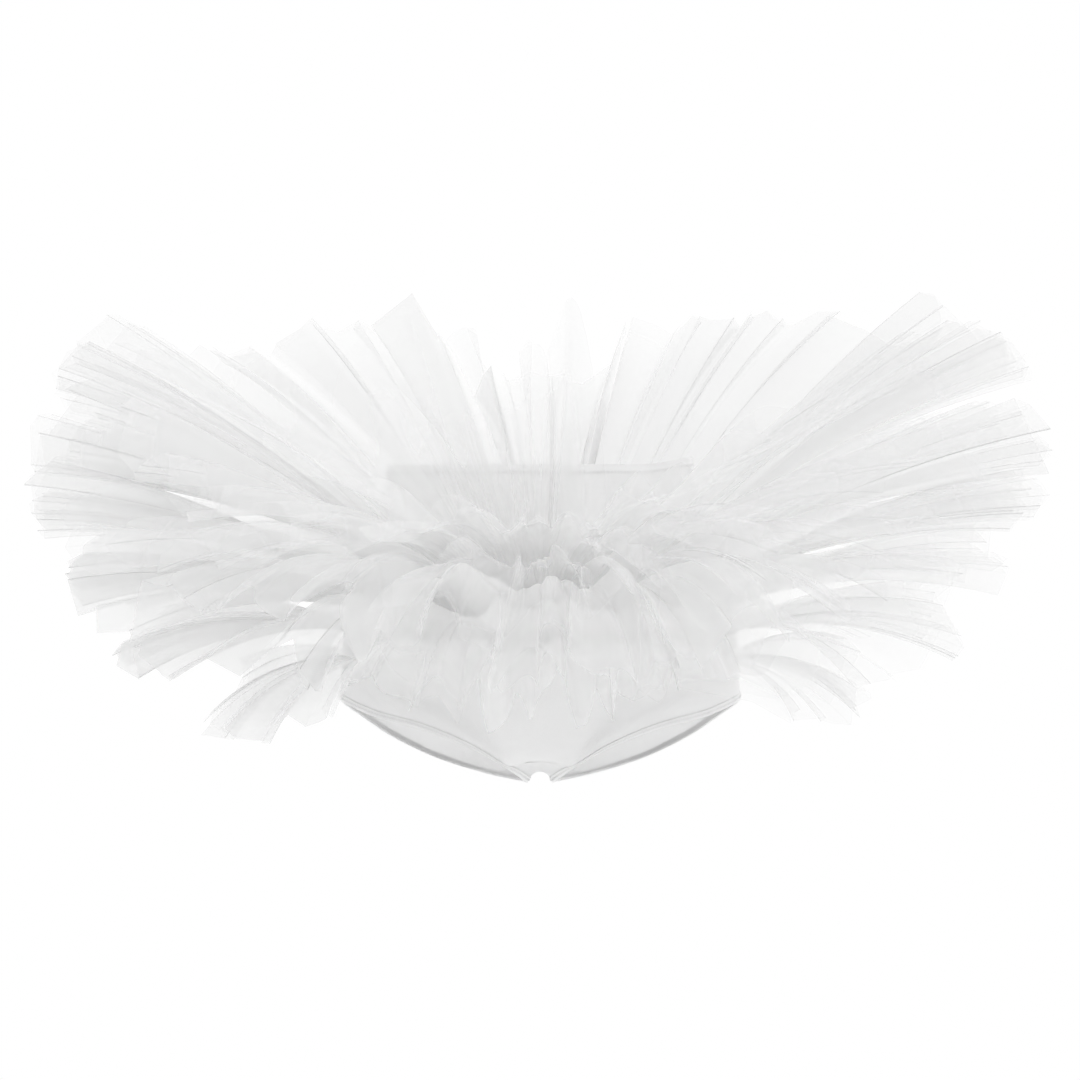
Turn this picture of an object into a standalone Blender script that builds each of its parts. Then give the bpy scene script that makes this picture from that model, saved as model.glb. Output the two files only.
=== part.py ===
"""A pull-on practice tutu: a stretch brief with six gathered layers of net sewn round the hips.

The brief is cut as a front, a back and a gusset. Its waist edge is turned and narrow elastic lies
round its legs. It keeps the rounded form that a general figure gives it. The net layers stand out
from the brief, longest and highest at the top, shortest and drooping at the leg.

Metres, +Z up. The wearer's front faces -Y, and left and right are as seen from the front.
The origin is the middle of the waist opening, where the wearer carries the garment.
"""

import math
import random
from collections import namedtuple

import bpy

COLLECTION = "ballet_tutu"

# Cloth
BRIEF_WALL = 0.0015
NET_WALL = 0.0012
ELASTIC_WALL = 0.0012
ELASTIC_WIDTH = 0.006
WAIST_TURN = 0.008  # depth of the turned waist edge
SEAM_GAP = 0.0003
SIDE_SEAM_GAP = 0.0005  # at mid-wall; the walls' square ends come closer on the inside
ELASTIC_GAP = 0.0010  # at the corners of the grids; the flat faces between them come closer
CORNER_LEAN = 0.2  # where the band turns onto the gusset, in widths of the elastic

# Grid of the brief
PANEL_COLUMNS = 28
SEAM_COLUMNS = 6  # of a panel's columns, those that end on the gusset
UPPER_ROWS = 4
LOWER_ROWS = 3
SPLIT_HEIGHT = -0.170  # below it the panels turn in towards the crotch
CROTCH_TURN = (0.95, -0.33)  # inwards and upwards: how the panels run where they meet the gusset
SLOPE_STEP = 0.01
GUSSET_ROWS = 11
GUSSET_INNER_COLUMNS = 4

# Net
SAMPLES_PER_FOLD = 4
NET_ROWS = 3
ROOT_CLEARANCE = 0.0008  # from the brief's mid-surface side to the gathered edge
FOLD_GROWTH = 1.25  # folds open out from the gathers to the hem by this power
HEM_TRIM = 0.010  # how unevenly the hem was cut
FOLD_UNEVENNESS = 0.35  # of the folds' width and depth

# The torso form: front and back depths are measured from the side seam.
Section = namedtuple("Section", "height half_width front_depth back_depth")
TORSO = (
    Section(0.000, 0.1305, 0.092, 0.090),
    Section(-0.045, 0.1440, 0.098, 0.099),
    Section(-0.090, 0.1585, 0.104, 0.112),
    Section(-0.135, 0.1680, 0.106, 0.121),
    Section(-0.200, 0.1710, 0.098, 0.118),
)

# The leg openings, from the side seam to the gusset's corner.
LegPoint = namedtuple("LegPoint", "out depth height")
FRONT_LEG = (
    LegPoint(0.1710, 0.000, -0.199),
    LegPoint(0.1675, 0.022, -0.2025),
    LegPoint(0.1380, 0.054, -0.214),
    LegPoint(0.1040, 0.075, -0.221),
    LegPoint(0.0715, 0.083, -0.232),
    LegPoint(0.0480, 0.077, -0.243),
    LegPoint(0.0280, 0.060, -0.256),
)
BACK_LEG = (
    LegPoint(0.1710, 0.000, -0.199),
    LegPoint(0.1690, 0.025, -0.2055),
    LegPoint(0.1530, 0.060, -0.2195),
    LegPoint(0.1315, 0.090, -0.236),
    LegPoint(0.0990, 0.103, -0.253),
    LegPoint(0.0700, 0.090, -0.2625),
    LegPoint(0.0410, 0.060, -0.2685),
)

# The gusset, front seam to back seam: an arch pinched between the legs.
Rib = namedtuple("Rib", "y half_width edge_height crown_height")
GUSSET = (
    Rib(-0.060, 0.0280, -0.2560, -0.2510),
    Rib(-0.040, 0.0180, -0.2650, -0.2570),
    Rib(-0.018, 0.0130, -0.2705, -0.2615),
    Rib(0.006, 0.0130, -0.2715, -0.2620),
    Rib(0.032, 0.0220, -0.2710, -0.2635),
    Rib(0.060, 0.0410, -0.2685, -0.2640),
)

# The net layers, top to bottom: where each is sewn, how deep its strip is cut, its folds.
# Each seam runs lower across the front.
Layer = namedtuple("Layer", "name seam_height front_dip depth folds fold_depth arch")
LAYERS = (
    Layer("net_layer_1", -0.052, 0.026, 0.304, 34, 0.017, 0.012),
    Layer("net_layer_2", -0.074, 0.020, 0.296, 33, 0.017, 0.012),
    Layer("net_layer_3", -0.096, 0.015, 0.283, 31, 0.016, 0.014),
    Layer("net_layer_4", -0.118, 0.010, 0.238, 28, 0.015, 0.016),
    Layer("net_layer_5", -0.140, 0.006, 0.188, 24, 0.013, 0.016),
    Layer("net_layer_6", -0.162, 0.003, 0.121, 18, 0.010, 0.012),
)

# Height of each layer's hem round the body; azimuth 0 is the front and 90 the right side.
# The folds stand deepest where spread is largest. The top layer stands up in front of the
# waist on the left and has fallen open beside it on the right.
Hem = namedtuple("Hem", "azimuth spread layer_1 layer_2 layer_3 layer_4 layer_5 layer_6")
HEMS = (
    Hem(0, 0.75, 0.094, -0.058, -0.106, -0.142, -0.174, -0.202),
    Hem(3, 0.75, 0.098, -0.068, -0.108, -0.142, -0.174, -0.202),
    Hem(7, 0.75, -0.030, -0.078, -0.109, -0.141, -0.173, -0.201),
    Hem(11, 0.75, -0.024, -0.078, -0.109, -0.140, -0.172, -0.200),
    Hem(15, 0.75, -0.014, -0.076, -0.108, -0.140, -0.171, -0.199),
    Hem(20, 0.80, 0.004, -0.066, -0.104, -0.138, -0.169, -0.198),
    Hem(26, 0.85, 0.026, -0.050, -0.096, -0.134, -0.166, -0.197),
    Hem(34, 0.90, 0.056, -0.024, -0.083, -0.128, -0.163, -0.198),
    Hem(45, 1.05, 0.088, 0.010, -0.060, -0.114, -0.158, -0.206),
    Hem(60, 1.25, 0.120, 0.048, -0.028, -0.092, -0.150, -0.212),
    Hem(75, 1.40, 0.106, 0.038, -0.030, -0.087, -0.147, -0.211),
    Hem(90, 1.45, 0.086, 0.022, -0.036, -0.085, -0.146, -0.209),
    Hem(105, 1.45, 0.106, 0.038, -0.030, -0.087, -0.147, -0.209),
    Hem(120, 1.45, 0.134, 0.054, -0.024, -0.088, -0.148, -0.209),
    Hem(150, 1.30, 0.146, 0.058, -0.022, -0.086, -0.146, -0.208),
    Hem(163, 1.20, 0.136, 0.056, -0.022, -0.086, -0.146, -0.208),
    Hem(171, 1.10, 0.094, 0.048, -0.024, -0.086, -0.146, -0.208),
    Hem(180, 1.10, 0.092, 0.044, -0.024, -0.086, -0.146, -0.208),
    Hem(195, 1.10, 0.112, 0.048, -0.023, -0.086, -0.146, -0.208),
    Hem(210, 1.30, 0.142, 0.054, -0.022, -0.086, -0.148, -0.210),
    Hem(225, 1.45, 0.108, 0.050, -0.024, -0.090, -0.152, -0.215),
    Hem(240, 1.45, 0.112, 0.050, -0.026, -0.094, -0.158, -0.222),
    Hem(255, 1.45, 0.100, 0.038, -0.032, -0.102, -0.166, -0.226),
    Hem(270, 1.45, 0.080, 0.018, -0.038, -0.098, -0.160, -0.223),
    Hem(285, 1.40, 0.098, 0.034, -0.034, -0.104, -0.168, -0.226),
    Hem(300, 1.25, 0.112, 0.042, -0.036, -0.104, -0.166, -0.222),
    Hem(315, 1.05, 0.078, 0.008, -0.060, -0.114, -0.162, -0.208),
    Hem(326, 0.95, 0.086, -0.022, -0.080, -0.128, -0.166, -0.202),
    Hem(345, 0.80, 0.094, -0.042, -0.101, -0.140, -0.173, -0.202),
    Hem(360, 0.75, 0.094, -0.058, -0.106, -0.142, -0.174, -0.202),
)

WHITE_STRETCH = (0.86, 0.86, 0.87)
WHITE_NET = (0.93, 0.93, 0.94)
WHITE_ELASTIC = (0.90, 0.90, 0.91)


# ---------------------------------------------------------------- numbers and vectors


def smooth_between(rows, key, at, name):
    """The named column of a table at one value of its key column, on a Catmull-Rom curve."""
    keys = [getattr(row, key) for row in rows]
    values = [getattr(row, name) for row in rows]
    rising = keys[-1] > keys[0]
    at = min(max(at, min(keys)), max(keys))
    i = 0
    while i < len(keys) - 2 and (at > keys[i + 1] if rising else at < keys[i + 1]):
        i += 1
    share = (at - keys[i]) / (keys[i + 1] - keys[i])
    before = values[max(i - 1, 0)]
    after = values[min(i + 2, len(values) - 1)]
    low, high = values[i], values[i + 1]
    return 0.5 * (
        2 * low
        + (high - before) * share
        + (2 * before - 5 * low + 4 * high - after) * share**2
        + (3 * low - before - 3 * high + after) * share**3
    )


def along_table(rows, share):
    """All columns of a table at a share of its rows, on a Catmull-Rom curve."""
    Row = type(rows[0])
    Numbered = namedtuple("Numbered", ("number",) + Row._fields)
    numbered = [Numbered(i, *row) for i, row in enumerate(rows)]
    at = share * (len(rows) - 1)
    return Row(*(smooth_between(numbered, "number", at, f) for f in Row._fields))


def add(a, b, times=1.0):
    return tuple(x + times * y for x, y in zip(a, b))


def minus(a, b):
    return add(a, b, -1.0)


def length(a):
    return math.sqrt(sum(x * x for x in a))


def unit(a):
    return tuple(x / length(a) for x in a)


def cross(a, b):
    return (
        a[1] * b[2] - a[2] * b[1],
        a[2] * b[0] - a[0] * b[2],
        a[0] * b[1] - a[1] * b[0],
    )


def hermite(start, start_slope, end, end_slope, share):
    s2, s3 = share**2, share**3
    weights = (2 * s3 - 3 * s2 + 1, s3 - 2 * s2 + share, 3 * s2 - 2 * s3, s3 - s2)
    parts = (start, start_slope, end, end_slope)
    return tuple(sum(w * p[k] for w, p in zip(weights, parts)) for k in range(3))


# ---------------------------------------------------------------- building cloth


def cloth(name, rows, wall, colour, closed=False, roughness=0.8):
    """A wall of cloth from rows of points: an open surface that Solidify gives its thickness.

    Rows that run anticlockwise, seen from above, with the upper row first, face outwards.
    """
    columns = len(rows[0])
    points = [point for row in rows for point in row]
    faces = []
    for j in range(len(rows) - 1):
        for i in range(columns if closed else columns - 1):
            after = (i + 1) % columns
            faces.append(
                (
                    j * columns + i,
                    (j + 1) * columns + i,
                    (j + 1) * columns + after,
                    j * columns + after,
                )
            )
    mesh = bpy.data.meshes.new(name)
    mesh.from_pydata(points, [], faces)
    mesh.shade_smooth()
    obj = bpy.data.objects.new(name, mesh)
    bpy.data.collections[COLLECTION].objects.link(obj)
    thickness = obj.modifiers.new("thickness", "SOLIDIFY")
    thickness.thickness = wall
    thickness.offset = 0
    thickness.use_even_offset = True
    obj.data.materials.append(finish(name, colour, roughness))
    return obj


def finish(name, colour, roughness):
    material = bpy.data.materials.new(name)
    material.use_nodes = True
    shader = material.node_tree.nodes["Principled BSDF"]
    shader.inputs["Base Color"].default_value = (*colour, 1)
    shader.inputs["Roughness"].default_value = roughness
    shader.inputs["Metallic"].default_value = 0
    return material


def normal_at(rows, j, i):
    """The outward direction at one point of an open grid of rows, from its neighbours."""
    left = rows[j][max(i - 1, 0)]
    right = rows[j][min(i + 1, len(rows[0]) - 1)]
    upper = rows[max(j - 1, 0)][i]
    lower = rows[min(j + 1, len(rows) - 1)][i]
    return unit(cross(minus(lower, upper), minus(right, left)))


# ---------------------------------------------------------------- the torso form


def torso_point(height, azimuth, out=0.0):
    """A point of the brief's mid-surface above the leg openings, moved outwards by out."""
    sine, cosine = math.sin(azimuth), math.cos(azimuth)
    side = "front_depth" if cosine > 0 else "back_depth"
    half_width = smooth_between(TORSO, "height", height, "half_width") + out
    depth = smooth_between(TORSO, "height", height, side) + out
    return (half_width * sine, -depth * cosine, height)


def panel(leg, rib, facing):
    """The grid of the front (facing -1) or back (facing 1) panel, waist row first.

    Columns run from the left side seam to the right one on the front, and from right to left
    on the back, so that both have their outside on the same side.
    """
    half = PANEL_COLUMNS // 2
    half_seam = SEAM_COLUMNS // 2
    columns = []
    for i in range(-half, half + 1):
        quarter_turn = math.pi / 2 * i / half
        azimuth = quarter_turn if facing < 0 else math.pi - quarter_turn
        inward = min(1.0, (half - abs(i)) / (half - half_seam))
        if inward < 1:
            edge = along_table(leg, inward)
            bottom = (math.copysign(edge.out, i), facing * edge.depth, edge.height)
        else:
            bottom = gusset_point(rib, i / half_seam)
        column = panel_column(azimuth, bottom, inward, facing)
        columns.append([(x, y + facing * SIDE_SEAM_GAP / 2, z) for x, y, z in column])
    if facing > 0:
        columns = columns[::-1]
    return [list(row) for row in zip(*columns)]


def panel_column(azimuth, bottom, inward, facing):
    """One line of a panel, down the torso and then curving in to its lower edge.

    inward is 0 at the side seam and 1 where the panel meets the gusset.
    """
    fall = SPLIT_HEIGHT + WAIST_TURN
    heights = [0] + [fall * k / UPPER_ROWS - WAIST_TURN for k in range(UPPER_ROWS + 1)]
    column = [torso_point(height, azimuth) for height in heights]
    start = column[-1]
    just_above = torso_point(SPLIT_HEIGHT + SLOPE_STEP, azimuth)
    reach = length(minus(bottom, start))
    start_slope = tuple(reach * x for x in unit(minus(start, just_above)))
    turn_in = -facing * CROTCH_TURN[0] * inward**2
    drop = CROTCH_TURN[1] * inward - (1 - inward)
    end_slope = tuple(reach * x for x in unit((0, turn_in, drop)))
    hem_share = 1 - ELASTIC_WIDTH / reach
    shares = [hem_share * k / LOWER_ROWS for k in range(1, LOWER_ROWS + 1)] + [1]
    column += [hermite(start, start_slope, bottom, end_slope, share) for share in shares]
    return column


def gusset_point(rib, across):
    """A point of one rib of the gusset; across is -1 at its left edge and 1 at its right."""
    drop = (rib.edge_height - rib.crown_height) * across**2
    return (rib.half_width * across, rib.y, rib.crown_height + drop)


def gusset_rows():
    """The gusset's grid, front seam first; its outer columns are an elastic's width in."""
    ribs = [along_table(GUSSET, k / (GUSSET_ROWS - 1)) for k in range(GUSSET_ROWS)]
    ribs[0] = ribs[0]._replace(y=ribs[0].y + 2 * SEAM_GAP)
    ribs[-1] = ribs[-1]._replace(y=ribs[-1].y - 2 * SEAM_GAP)
    even_places = [2 * k / GUSSET_INNER_COLUMNS - 1 for k in range(GUSSET_INNER_COLUMNS + 1)]
    rows = []
    for rib in ribs:
        flank = math.hypot(rib.half_width, 2 * (rib.crown_height - rib.edge_height))
        inner = 1 - ELASTIC_WIDTH / flank
        places = [-1, *(inner * place for place in even_places), 1]
        rows.append([gusset_point(rib, across) for across in places])
    return rows


# ---------------------------------------------------------------- elastics


def edge_pairs(rows, inner_row, edge_row, columns):
    """(edge point, point an elastic's width in, outward direction) for columns of a grid."""
    return [
        (rows[edge_row][i], rows[inner_row][i], normal_at(rows, edge_row, i)) for i in columns
    ]


def corner_pair(rows, edge_row, column, towards_middle):
    """The pair at the panel's corner, where the band turns from the leg edge to the gusset."""
    at = rows[edge_row][column]
    across = minus(rows[edge_row][column + towards_middle], at)
    up = minus(rows[edge_row - 1][column], at)
    inside = add(add(at, unit(across), CORNER_LEAN * ELASTIC_WIDTH), up)
    return (at, inside, normal_at(rows, edge_row, column))


def elastic(name, pairs):
    """A narrow band round an opening, lying on the cloth's outside."""
    lift = BRIEF_WALL / 2 + ELASTIC_GAP + ELASTIC_WALL / 2
    edge = [add(at, outward, lift) for at, _, outward in pairs]
    inner = [add(inside, outward, lift) for _, inside, outward in pairs]
    cloth(name, [edge, inner], ELASTIC_WALL, WHITE_ELASTIC, closed=True, roughness=0.6)


def leg_elastic(name, side, front, back, gusset):
    """The band round one leg: down the front, along the gusset and up the back."""
    reach = (PANEL_COLUMNS - SEAM_COLUMNS) // 2
    edge_row = len(front) - 1
    from_left = list(range(PANEL_COLUMNS + 1))
    from_right = from_left[::-1]
    front_columns, back_columns = (from_left, from_right) if side < 0 else (from_right, from_left)
    gusset_edge, gusset_inner = (0, 1) if side < 0 else (len(gusset[0]) - 1, len(gusset[0]) - 2)
    pairs = edge_pairs(front, edge_row - 1, edge_row, front_columns[:reach])
    pairs.append(corner_pair(front, edge_row, front_columns[reach], -side))
    for k in range(1, len(gusset) - 1):
        outward = normal_at(gusset, k, gusset_edge)
        pairs.append((gusset[k][gusset_edge], gusset[k][gusset_inner], outward))
    pairs.append(corner_pair(back, edge_row, back_columns[reach], side))
    pairs += edge_pairs(back, edge_row - 1, edge_row, back_columns[reach - 1 : 0 : -1])
    elastic(name, pairs if side > 0 else pairs[::-1])


# ---------------------------------------------------------------- net layers


def net_layer(number, layer):
    """One gathered strip of net, sewn round the brief and closed at the back."""
    chance = random.Random(number)
    widths = [1 + FOLD_UNEVENNESS * chance.uniform(-1, 1) for _ in range(layer.folds)]
    turn = 2 * math.pi / sum(widths)
    start = 0.0
    columns = []
    for width in widths:
        fold_depth = layer.fold_depth * (1 - FOLD_UNEVENNESS * chance.random())
        depth = layer.depth + HEM_TRIM * chance.uniform(-0.5, 0.5)
        for sample in range(SAMPLES_PER_FOLD):
            phase = sample / SAMPLES_PER_FOLD
            azimuth = turn * (start + width * phase)
            degrees = math.degrees(azimuth)
            seam_height = layer.seam_height - layer.front_dip * max(0.0, math.cos(azimuth))
            hem_height = smooth_between(HEMS, "azimuth", degrees, f"layer_{number}")
            tilt = math.asin((hem_height - seam_height) / layer.depth)
            spread = smooth_between(HEMS, "azimuth", degrees, "spread")
            wave = spread * fold_depth * math.sin(2 * math.pi * phase)
            root = torso_point(seam_height, azimuth, BRIEF_WALL / 2 + ROOT_CLEARANCE)
            columns.append(net_column(root, azimuth, tilt, depth, wave, layer.arch))
        start += width
    rows = [list(row) for row in zip(*columns)]
    cloth(layer.name, rows, NET_WALL, WHITE_NET, closed=True, roughness=0.9)


def net_column(root, azimuth, tilt, depth, wave, arch):
    """One line of a net layer from its gathered edge to its hem, straight out from the body."""
    outward = (math.sin(azimuth), -math.cos(azimuth), 0)
    points = []
    for j in range(NET_ROWS + 1):
        share = j / NET_ROWS
        along = depth * share
        off = wave * share**FOLD_GROWTH + arch * 4 * share * (1 - share)
        out = along * math.cos(tilt) - off * math.sin(tilt)
        up = along * math.sin(tilt) + off * math.cos(tilt)
        points.append(add(add(root, outward, out), (0, 0, 1), up))
    return points


# ---------------------------------------------------------------- the garment


def clear_scene():
    for obj in list(bpy.data.objects):
        bpy.data.objects.remove(obj)
    collection = bpy.data.collections.new(COLLECTION)
    bpy.context.scene.collection.children.link(collection)


def main():
    clear_scene()
    front = panel(FRONT_LEG, GUSSET[0], -1)
    back = panel(BACK_LEG, GUSSET[-1], 1)
    gusset = gusset_rows()
    cloth("brief_front", front, BRIEF_WALL, WHITE_STRETCH, roughness=0.5)
    cloth("brief_back", back, BRIEF_WALL, WHITE_STRETCH, roughness=0.5)
    cloth("gusset", gusset, BRIEF_WALL, WHITE_STRETCH, roughness=0.5)
    leg_elastic("leg_elastic_left", -1, front, back, gusset)
    leg_elastic("leg_elastic_right", 1, front, back, gusset)
    for number, layer in enumerate(LAYERS, start=1):
        net_layer(number, layer)


main()
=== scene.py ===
"""Dresses the tutu: fine net, stretch brief, leg elastics and stitching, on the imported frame."""

import math
import random
from collections import namedtuple

import bpy
import numpy as np
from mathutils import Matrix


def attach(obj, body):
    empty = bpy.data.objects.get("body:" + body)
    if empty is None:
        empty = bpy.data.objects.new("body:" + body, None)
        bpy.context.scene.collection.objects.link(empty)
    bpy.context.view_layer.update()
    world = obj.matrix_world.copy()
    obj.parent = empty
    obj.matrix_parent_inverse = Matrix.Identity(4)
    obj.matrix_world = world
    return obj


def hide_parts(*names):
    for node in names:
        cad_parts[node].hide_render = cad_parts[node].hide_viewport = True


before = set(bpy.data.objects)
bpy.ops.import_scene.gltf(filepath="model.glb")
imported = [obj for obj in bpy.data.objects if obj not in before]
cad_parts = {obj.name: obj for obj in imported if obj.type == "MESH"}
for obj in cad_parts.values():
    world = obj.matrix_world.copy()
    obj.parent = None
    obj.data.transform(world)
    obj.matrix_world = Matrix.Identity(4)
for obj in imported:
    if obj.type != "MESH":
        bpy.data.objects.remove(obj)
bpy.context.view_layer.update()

bl_info = {
    "name": "Practice tutu",
    "version": (1, 0, 0),
    "blender": (4, 5, 0),
    "location": "View3D > Sidebar > Tutu",
    "description": "Makes a practice tutu: stretch brief, gathered net layers and stitching",
    "category": "Add Mesh",
}

BODY = "root"

# ---------------------------------------------------------------- the cut, as the solids have it

ELASTIC_WIDTH = 0.006
WAIST_TURN = 0.008
SPLIT_HEIGHT = -0.170  # below it the panels curve in to the legs and the gusset
CROTCH_TURN = (0.95, -0.33)  # which way a panel reaches the gusset: inwards, and down
SLOPE_STEP = 0.01  # the height over which the torso's slope is read at the split
FOLD_GROWTH = 1.25  # how late, from seam to hem, a fold's wave opens
HEM_TRIM = 0.010
FOLD_UNEVENNESS = 0.35
ROOT_LIFT = 0.00155  # from the knit's middle to a net's gathered edge

# The brief's half-ellipses, from the waist down.
Section = namedtuple("Section", "height half_width front_depth back_depth")
TORSO = (
    Section(0.000, 0.1305, 0.092, 0.090),
    Section(-0.045, 0.1440, 0.098, 0.099),
    Section(-0.090, 0.1585, 0.104, 0.112),
    Section(-0.135, 0.1680, 0.106, 0.121),
    Section(-0.200, 0.1710, 0.098, 0.118),
)

# A leg opening's edge, from the side seam to the gusset.
LegPoint = namedtuple("LegPoint", "out depth height")
FRONT_LEG = (
    LegPoint(0.1710, 0.000, -0.199),
    LegPoint(0.1675, 0.022, -0.2025),
    LegPoint(0.1380, 0.054, -0.214),
    LegPoint(0.1040, 0.075, -0.221),
    LegPoint(0.0715, 0.083, -0.232),
    LegPoint(0.0480, 0.077, -0.243),
    LegPoint(0.0280, 0.060, -0.256),
)
BACK_LEG = (
    LegPoint(0.1710, 0.000, -0.199),
    LegPoint(0.1690, 0.025, -0.2055),
    LegPoint(0.1530, 0.060, -0.2195),
    LegPoint(0.1315, 0.090, -0.236),
    LegPoint(0.0990, 0.103, -0.253),
    LegPoint(0.0700, 0.090, -0.2625),
    LegPoint(0.0410, 0.060, -0.2685),
)

# The gusset's ribs, from front to back.
Rib = namedtuple("Rib", "y half_width edge_height crown_height")
GUSSET = (
    Rib(-0.060, 0.0280, -0.2560, -0.2510),
    Rib(-0.040, 0.0180, -0.2650, -0.2570),
    Rib(-0.018, 0.0130, -0.2705, -0.2615),
    Rib(0.006, 0.0130, -0.2715, -0.2620),
    Rib(0.032, 0.0220, -0.2710, -0.2635),
    Rib(0.060, 0.0410, -0.2685, -0.2640),
)

# Each layer's seam, strip and main folds, as the solids have them; then how far its light
# creases stand off the folds, how much its front is ruffled and puffed up, and which column
# of CLOSENESS says how it is gathered.
Layer = namedtuple("Layer", "seam_height front_dip depth folds fold_depth arch pleat ruffle puffed tier")
LAYERS = (
    Layer(-0.052, 0.026, 0.304, 34, 0.017, 0.012, 0.0038, 0.8, 0.0, "upper"),
    Layer(-0.074, 0.020, 0.296, 33, 0.017, 0.012, 0.0038, 1.0, 0.6, "middle"),
    Layer(-0.096, 0.015, 0.283, 31, 0.016, 0.014, 0.0038, 1.2, 1.0, "middle"),
    Layer(-0.118, 0.010, 0.238, 28, 0.015, 0.016, 0.0034, 0.9, 1.2, "lower"),
    Layer(-0.140, 0.006, 0.188, 24, 0.013, 0.016, 0.0030, 0.7, 1.2, "lower"),
    Layer(-0.162, 0.003, 0.121, 18, 0.010, 0.012, 0.0028, 0.5, 1.0, "lower"),
)

# By degrees round the body from the centre front: how deep the folds stand beside the even
# ones, and the height of each layer's hem.
Hem = namedtuple("Hem", "azimuth spread layer_1 layer_2 layer_3 layer_4 layer_5 layer_6")
HEMS = (
    Hem(0, 0.75, 0.094, -0.058, -0.106, -0.142, -0.174, -0.202),
    Hem(3, 0.75, 0.098, -0.068, -0.108, -0.142, -0.174, -0.202),
    Hem(7, 0.75, -0.030, -0.078, -0.109, -0.141, -0.173, -0.201),
    Hem(11, 0.75, -0.024, -0.078, -0.109, -0.140, -0.172, -0.200),
    Hem(15, 0.75, -0.014, -0.076, -0.108, -0.140, -0.171, -0.199),
    Hem(20, 0.80, 0.004, -0.066, -0.104, -0.138, -0.169, -0.198),
    Hem(26, 0.85, 0.026, -0.050, -0.096, -0.134, -0.166, -0.197),
    Hem(34, 0.90, 0.056, -0.024, -0.083, -0.128, -0.163, -0.198),
    Hem(45, 1.05, 0.088, 0.010, -0.060, -0.114, -0.158, -0.206),
    Hem(60, 1.25, 0.120, 0.048, -0.028, -0.092, -0.150, -0.212),
    Hem(75, 1.40, 0.106, 0.038, -0.030, -0.087, -0.147, -0.211),
    Hem(90, 1.45, 0.086, 0.022, -0.036, -0.085, -0.146, -0.209),
    Hem(105, 1.45, 0.106, 0.038, -0.030, -0.087, -0.147, -0.209),
    Hem(120, 1.45, 0.134, 0.054, -0.024, -0.088, -0.148, -0.209),
    Hem(150, 1.30, 0.146, 0.058, -0.022, -0.086, -0.146, -0.208),
    Hem(163, 1.20, 0.136, 0.056, -0.022, -0.086, -0.146, -0.208),
    Hem(171, 1.10, 0.094, 0.048, -0.024, -0.086, -0.146, -0.208),
    Hem(180, 1.10, 0.092, 0.044, -0.024, -0.086, -0.146, -0.208),
    Hem(195, 1.10, 0.112, 0.048, -0.023, -0.086, -0.146, -0.208),
    Hem(210, 1.30, 0.142, 0.054, -0.022, -0.086, -0.148, -0.210),
    Hem(225, 1.45, 0.108, 0.050, -0.024, -0.090, -0.152, -0.215),
    Hem(240, 1.45, 0.112, 0.050, -0.026, -0.094, -0.158, -0.222),
    Hem(255, 1.45, 0.100, 0.038, -0.032, -0.102, -0.166, -0.226),
    Hem(270, 1.45, 0.080, 0.018, -0.038, -0.098, -0.160, -0.223),
    Hem(285, 1.40, 0.098, 0.034, -0.034, -0.104, -0.168, -0.226),
    Hem(300, 1.25, 0.112, 0.042, -0.036, -0.104, -0.166, -0.222),
    Hem(315, 1.05, 0.078, 0.008, -0.060, -0.114, -0.162, -0.208),
    Hem(326, 0.95, 0.086, -0.022, -0.080, -0.128, -0.166, -0.202),
    Hem(345, 0.80, 0.094, -0.042, -0.101, -0.140, -0.173, -0.202),
    Hem(360, 0.75, 0.094, -0.058, -0.106, -0.142, -0.174, -0.202),
)


def smooth_curve(keys, values, at):
    """Values of a Catmull-Rom curve through values that stand at rising keys."""
    keys, values = np.array(keys, float), np.array(values, float)
    at = np.clip(np.asarray(at, float), keys[0], keys[-1])
    i = np.clip(np.searchsorted(keys, at, side="left") - 1, 0, len(keys) - 2)
    share = (at - keys[i]) / (keys[i + 1] - keys[i])
    before, after = values[np.maximum(i - 1, 0)], values[np.minimum(i + 2, len(values) - 1)]
    low, high = values[i], values[i + 1]
    return 0.5 * (
        2 * low
        + (high - before) * share
        + (2 * before - 5 * low + 4 * high - after) * share**2
        + (3 * low - before - 3 * high + after) * share**3
    )


def smooth_between(rows, key, at, name):
    """The named column of a table at values of its key column."""
    rows = sorted(rows, key=lambda row: getattr(row, key))
    return smooth_curve([getattr(row, key) for row in rows], [getattr(row, name) for row in rows], at)


def along_table(rows, share):
    """All columns of a table at a share of its rows."""
    at = share * (len(rows) - 1)
    return type(rows[0])(*(float(smooth_curve(range(len(rows)), column, at)) for column in zip(*rows)))


def unit(vectors):
    """Vectors, or rows of them, made 1 long."""
    return vectors / np.linalg.norm(vectors, axis=-1, keepdims=True)


def smoothstep(low, high, at):
    """0 up to low, 1 from high on, and eased between."""
    share = np.clip((np.asarray(at, float) - low) / (high - low), 0, 1)
    return share * share * (3 - 2 * share)


def torso_point(height, azimuth, out=0.0):
    """Points of the brief's mid-surface above the leg openings, moved outwards by out."""
    height, azimuth = np.broadcast_arrays(np.asarray(height, float), np.asarray(azimuth, float))
    front = smooth_between(TORSO, "height", height, "front_depth")
    back = smooth_between(TORSO, "height", height, "back_depth")
    depth = np.where(np.cos(azimuth) > 0, front, back) + out
    half_width = smooth_between(TORSO, "height", height, "half_width") + out
    return np.stack([half_width * np.sin(azimuth), -depth * np.cos(azimuth), height], -1)


# ---------------------------------------------------------------- meshes


def grid_faces(row_count, column_count, closed):
    """Quads of a grid whose rows run anticlockwise from above, upper row first."""
    j, i = np.indices((row_count - 1, column_count if closed else column_count - 1))
    after = (i + 1) % column_count
    upper, lower = j * column_count, (j + 1) * column_count
    corners = (upper + i, lower + i, lower + after, upper + after)
    return np.stack([corner.ravel() for corner in corners], -1)


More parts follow.
